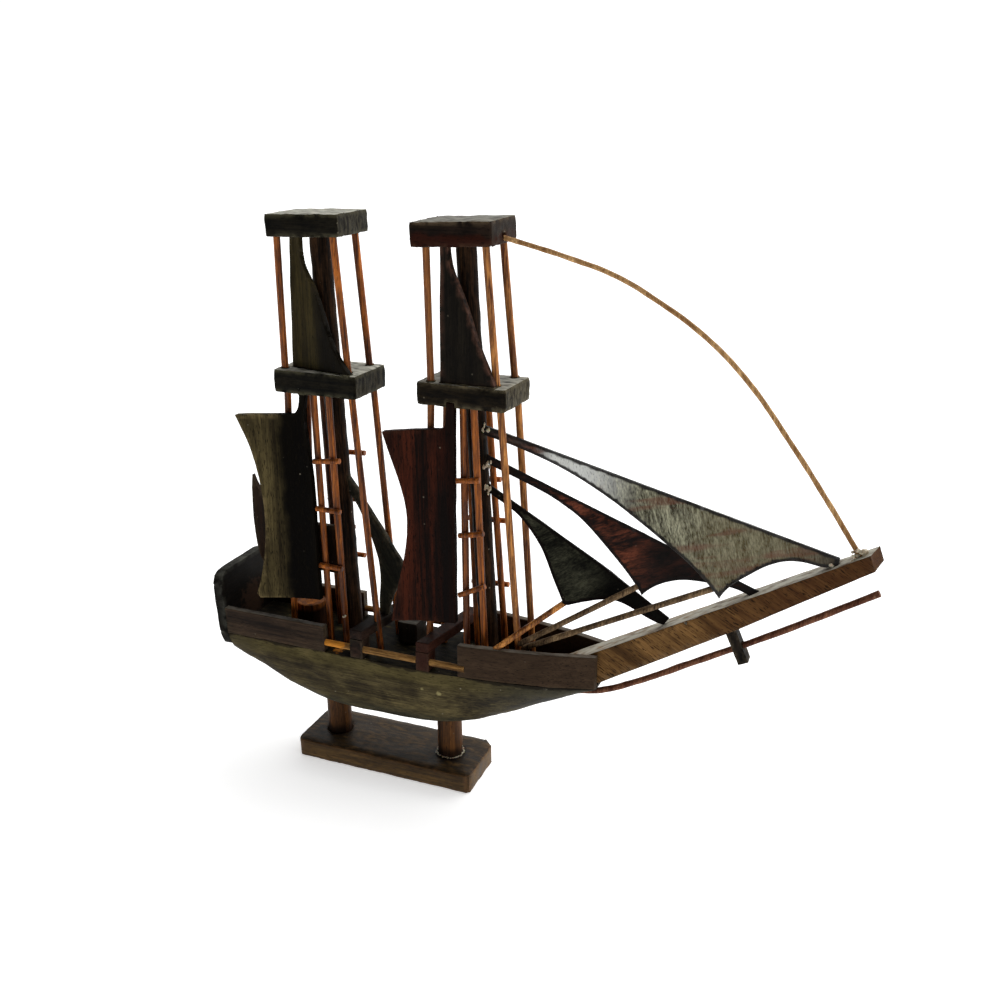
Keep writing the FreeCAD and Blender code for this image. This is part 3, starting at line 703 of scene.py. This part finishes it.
def bentStick(node, finish, points, radius, seed):
    # a bent stick along a smooth line through places (x, z in mm) in the ship's middle plane
    curve = bpy.data.curves.new(node, "CURVE")
    curve.dimensions = "3D"
    spline = curve.splines.new("BEZIER")
    spline.bezier_points.add(len(points) - 1)
    for spot, (x, z) in zip(spline.bezier_points, points):
        spot.co = (x * mm, 0.0, z * mm)
        spot.handle_left_type = spot.handle_right_type = "AUTO"
    spline.resolution_u = bend["steps"]
    curve.bevel_depth = radius * mm
    curve.bevel_resolution = bend["sides"]
    curve.use_fill_caps = True
    holder = bpy.data.objects.new(node + "_line", curve)
    bpy.context.scene.collection.objects.link(holder)
    bpy.context.view_layer.update()
    mesh = bpy.data.meshes.new_from_object(holder.evaluated_get(bpy.context.evaluated_depsgraph_get()))
    bpy.data.objects.remove(holder)
    bm = merged(mesh)
    handCut(bm, radius * bend["rough"], bend["size"], seed)
    return finished(bm, node + "_bent", wood(finish), node)


def bead(bm, place, size, seed, squash):
    # one dried drop, lumpy
    made = bmesh.ops.create_icosphere(bm, subdivisions=2, radius=size * mm)
    for v in made["verts"]:
        lump = 1 + 0.35 * noise.noise(v.co / (size * 0.8 * mm) + Vector((seed * 3.3, seed, 0)))
        v.co = Vector([v.co[i] * lump * squash[i] for i in range(3)]) + Vector(place) * mm


stand = {
    "base": {"ease": 0.35, "segments": 3, "steps": (1.1, 1.1, 1.0), "amount": 0.14, "size": 5.0, "rim": 1.4,
             "worn": 0.36},
    "post": {"ease": 0.25, "steps": (0, 0, 1.2), "amount": 0.12, "size": 4.0},
}


def makeStand():
    carve("stand_base", "baseWood", stand["base"], 3)
    for i, end in enumerate(("aft", "fore")):
        carve("stand_post_" + end, "postWood", stand["post"], 5 + i)
    print("stand made")


hullCuts = {
    "hull": {"ease": 0.35, "angle": 32, "steps": (2.2, 2.2, 1.8), "amount": 0.22, "size": 8.0},
    "transom": {"ease": 0.3, "segments": 3, "steps": (0, 1.2, 1.2), "amount": 0.12, "size": 5.0,
                "worn": 0.25},
    "plank": {"ease": 0.22, "angle": 35, "steps": (2, 0, 1.4), "amount": 0.1, "size": 5.0},
    "waistPost": {"ease": 0.3, "steps": (1, 1, 1), "amount": 0.12, "size": 2.5},
    "crossbar": {"ease": 0.15, "steps": (1.2, 1.5, 1.1), "amount": 0.12, "size": 3.0},
    "hatch": {"ease": 0.15, "steps": (1.2, 1.2, 1.2), "amount": 0.12, "size": 3.0},
    "drum": {"ease": 0.1, "steps": (1.2, 1.2, 1.2), "amount": 0.08, "size": 3.0},
}
railRadius = 1.05        # mm


def makeHull():
    carve("hull", "hullWood", hullCuts["hull"], 7)
    carve("transom", "transomWood", hullCuts["transom"], 8)
    for i, side in enumerate(("starboard", "port")):
        for j, end in enumerate(("aft", "fore")):
            carve("bulwark_%s_%s" % (end, side), "plankWood", hullCuts["plank"], 10 + i + 2 * j)
            carve("waist_post_%s_%s" % (end, side), "frameWood", hullCuts["waistPost"], 20 + i + 2 * j)
        makeSticks("waist_rail_" + side, "railWood", railRadius, 30 + i)
    for i, end in enumerate(("aft", "fore")):
        carve("crossbar_" + end, "frameWood", hullCuts["crossbar"], 33 + i)
    carve("deck_hatch", "hatchWood", hullCuts["hatch"], 36)
    carve("deck_drum", "drumWood", hullCuts["drum"], 37)
    print("hull made")


# stay, side and rung are radii in mm
rig = {
    "mast": {"ease": 0.2, "angle": 40, "steps": (0, 0, 1.6), "amount": 0.14, "size": 3.5},
    "block": {"ease": 0.18, "steps": (0.9, 0.9, 0.9), "amount": 0.18, "size": 3.0, "rim": 1.3, "worn": 0.26},
    "blockWoods": {"aft_top": "blockWood", "aft_mid": "blockWood", "fore_top": "foreTopBlockWood",
                   "fore_mid": "foreMidBlockWood"},
    "canes": {"aft": "darkBamboo", "fore": "bamboo"}, "ladderCane": "darkBamboo",
    "stay": 1.05, "side": 1.05, "rung": 0.85,
}


def makeRig():
    for i, mast in enumerate(("aft", "fore")):
        carve(mast + "_mast", "mastWood", rig["mast"], 40 + i)
    for i, (place, finish) in enumerate(rig["blockWoods"].items()):
        carve(place + "_block", finish, rig["block"], 44 + i)
    for i, (mast, cane) in enumerate(rig["canes"].items()):
        for j, stays in enumerate(("upper_stays", "lower_backstays", "lower_forestays")):
            makeSticks(mast + "_" + stays, cane, rig["stay"], 50 + 8 * i + 10 * j)
        for j, side in enumerate(("starboard", "port")):
            ladder = "%s_%s_ladder_" % (mast, side)
            makeSticks(ladder + "sides", rig["ladderCane"], rig["side"], 80 + 8 * i + 4 * j)
            makeSticks(ladder + "rungs", rig["ladderCane"], rig["rung"], 100 + 8 * i + 4 * j)
    print("rig made")


sails = {
    "course": {"ease": 0.3, "steps": (1.8, 0, 2.0), "amount": 0.16, "size": 9.0},
    "topsail": {"ease": 0.3, "steps": (1.5, 0, 1.8), "amount": 0.14, "size": 6.0},
    "jib": {"ease": 0.4, "segments": 3, "steps": (1.2, 0, 1.2), "amount": 0.2, "size": 5.0, "rim": 1.3},
    "aftSail": {"ease": 0.25, "steps": (1.5, 0, 1.8), "amount": 0.14, "size": 6.0},
}


def makeSails():
    for i, mast in enumerate(("fore", "aft")):
        carve(mast + "_course", mast + "CourseWood", sails["course"], 120 + i)
    for i, mast in enumerate(("fore", "aft")):
        carve(mast + "_topsail", mast + "TopsailWood", sails["topsail"], 122 + i)
    for i, name in enumerate(("outer", "middle", "inner")):
        carve("jib_" + name, name + "JibWood", sails["jib"], 124 + i)
    for i, node in enumerate(("staysail", "spanker")):
        carve(node, node + "Wood", sails["aftSail"], 128 + i)
    print("sails made")


# lines: places x, z in mm along the bent sticks; radii in mm
bow = {
    "sprit": {"ease": 0.35, "segments": 3, "steps": (2, 1.5, 2), "amount": 0.12, "size": 6.0},
    "striker": {"ease": 0.25, "steps": (1, 1, 1), "amount": 0.14, "size": 2.5},
    "forestayLine": [(34.2, 165.6), (43.5, 163.6), (54.0, 160.9), (67.0, 156.9), (77.5, 151.6), (91.2, 142.7),
                     (102.4, 132.2), (113.0, 118.9), (123.2, 105.0), (133.8, 89.6)],
    "lowerLine": [(59.6, 36.7), (67.0, 38.4), (78.0, 43.7), (92.0, 52.0), (112.0, 64.0), (138.9, 81.3)],
    "forestay": 0.72, "lower": 0.95, "sheet": 0.9,
    "sheetCanes": {"inner": "bamboo", "middle": "greyBamboo", "outer": "greyBamboo"},
}


def makeBow():
    carve("bowsprit", "spritWood", bow["sprit"], 130)
    carve("dolphin_striker", "strikerWood", bow["striker"], 131)
    bentStick("bow_lower_stick", "redBamboo", bow["lowerLine"], bow["lower"], 132)
    bentStick("forestay", "stayBamboo", bow["forestayLine"], bow["forestay"], 133)
    for i, (name, cane) in enumerate(bow["sheetCanes"].items()):
        makeSticks("sheet_" + name, cane, bow["sheet"], 134 + i)
    print("bow made")


# dried glue at the joints, in mm
# each heap: middle, spread, how many drops, radius of the largest, how far the drops are drawn out upwards
glue = {
    "forestay_foot": [((132.6, -0.9, 91.0), 1.6, 14, 1.0, 0.8)],
    "outer_jib_tail": [((127.6, -1.2, 86.5), 1.4, 10, 0.6, 0.8)],
    "jib_heads": [((32.2, -2.0, 114.0), 1.2, 9, 0.4, 1.9), ((32.6, -2.0, 103.8), 1.1, 8, 0.4, 1.9),
                  ((32.9, -1.9, 95.8), 1.1, 8, 0.38, 1.9)],
    "ladder_foot": [((-12.9, -6.4, 50.6), 0.4, 3, 0.5, 0.8)],
}
heapFlat = (1, 0.5, 1)        # a heap spreads half as far across the ship
heapSizes = (0.45, 1.0)
# the ring round the fore post's foot: radius, height, drop radius, places round it, share of them filled
postRing = {"radius": 4.1, "height": 6.65, "size": 0.25, "drops": 130, "share": 0.8, "wander": (-0.2, 0.4),
            "sizes": (0.6, 1.2), "squash": (1, 1, 0.5)}


def makeGlueDrops():
    for i, (name, heaps) in enumerate(glue.items()):
        bm = bmesh.new()
        for middle, spread, count, size, drawn in heaps:
            for j in range(count):
                place = [c + random.uniform(-spread, spread) * heapFlat[k] for k, c in enumerate(middle)]
                bead(bm, place, size * random.uniform(*heapSizes), 200 + 20 * i + j, (1, 1, drawn))
        finished(bm, "glue_" + name, driedGlue, angle=180)
    low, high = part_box("stand_post_fore")
    middle = (low + high) / 2 / mm
    bm = bmesh.new()
    for i in range(postRing["drops"]):
        if random.random() > postRing["share"]:
            continue
        turn = 2 * math.pi * i / postRing["drops"]
        reach = postRing["radius"] + random.uniform(*postRing["wander"])
        place = (middle.x + reach * math.cos(turn), middle.y + reach * math.sin(turn), postRing["height"])
        bead(bm, place, postRing["size"] * random.uniform(*postRing["sizes"]), 260 + i, postRing["squash"])
    finished(bm, "glue_post_foot", driedGlue, angle=180)
    print("glue set")


# floor size in metres, how white it is and how much it glows
room = {"floorSize": 40.0, "paper": 0.92, "glow": 0.5, "rough": 0.9, "gloss": 0.1}
# soft light from above, behind and to the right; angles in degrees
day = {"strength": 2.5, "angle": 75, "tilt": 38, "turn": 122}
# brighter behind the ship than before it; backdrop: how bright the camera sees it
sky = {"front": 0.05, "back": 1.2, "from": -0.1, "to": 0.6, "backdrop": 1.05}


def makeRoom():
    bm = bmesh.new()
    bmesh.ops.create_grid(bm, x_segments=2, y_segments=2, size=room["floorSize"] / 2)
    mesh = bpy.data.meshes.new("paper_floor")
    bm.to_mesh(mesh)
    bm.free()
    paper = bpy.data.materials.new("whitePaper")
    paper.use_nodes = True
    shader = paper.node_tree.nodes["Principled BSDF"]
    shader.inputs["Base Color"].default_value = (room["paper"], room["paper"], room["paper"], 1)
    shader.inputs["Roughness"].default_value = room["rough"]
    shader.inputs["Specular IOR Level"].default_value = room["gloss"]
    shader.inputs["Emission Color"].default_value = (1, 1, 1, 1)
    shader.inputs["Emission Strength"].default_value = room["glow"]
    mesh.materials.append(paper)
    floor = bpy.data.objects.new("paper_floor", mesh)
    bpy.context.scene.collection.objects.link(floor)
    sun = bpy.data.lights.new("day", "SUN")
    sun.energy = day["strength"]
    sun.angle = math.radians(day["angle"])
    light = bpy.data.objects.new("day", sun)
    light.rotation_euler = (math.radians(day["tilt"]), 0, math.radians(day["turn"]))
    bpy.context.scene.collection.objects.link(light)
    world = bpy.data.worlds.new("studio")
    world.use_nodes = True
    tree = world.node_tree
    aim = addNode(tree, "ShaderNodeTexCoord").outputs["Generated"]
    across = addNode(tree, "ShaderNodeSeparateXYZ", {0: aim}).outputs[1]
    rise = stepped(tree, across, sky["from"], sky["to"], sky["back"] - sky["front"])
    lit = maths(tree, "ADD", rise, sky["front"])
    seen = tree.nodes.new("ShaderNodeLightPath").outputs["Is Camera Ray"]
    shown = maths(tree, "ADD", maths(tree, "MULTIPLY", seen, sky["backdrop"]),
                  maths(tree, "MULTIPLY", lit, maths(tree, "SUBTRACT", 1.0, seen)))
    tree.links.new(shown, tree.nodes["Background"].inputs["Strength"])
    tree.nodes["Background"].inputs["Color"].default_value = (1, 1, 1, 1)
    bpy.context.scene.world = world
    bpy.context.scene.view_settings.view_transform = "Standard"
    print("room lit")


makeCamera()
makeRoom()
makeStand()
makeHull()
makeRig()
makeSails()
makeBow()
makeGlueDrops()
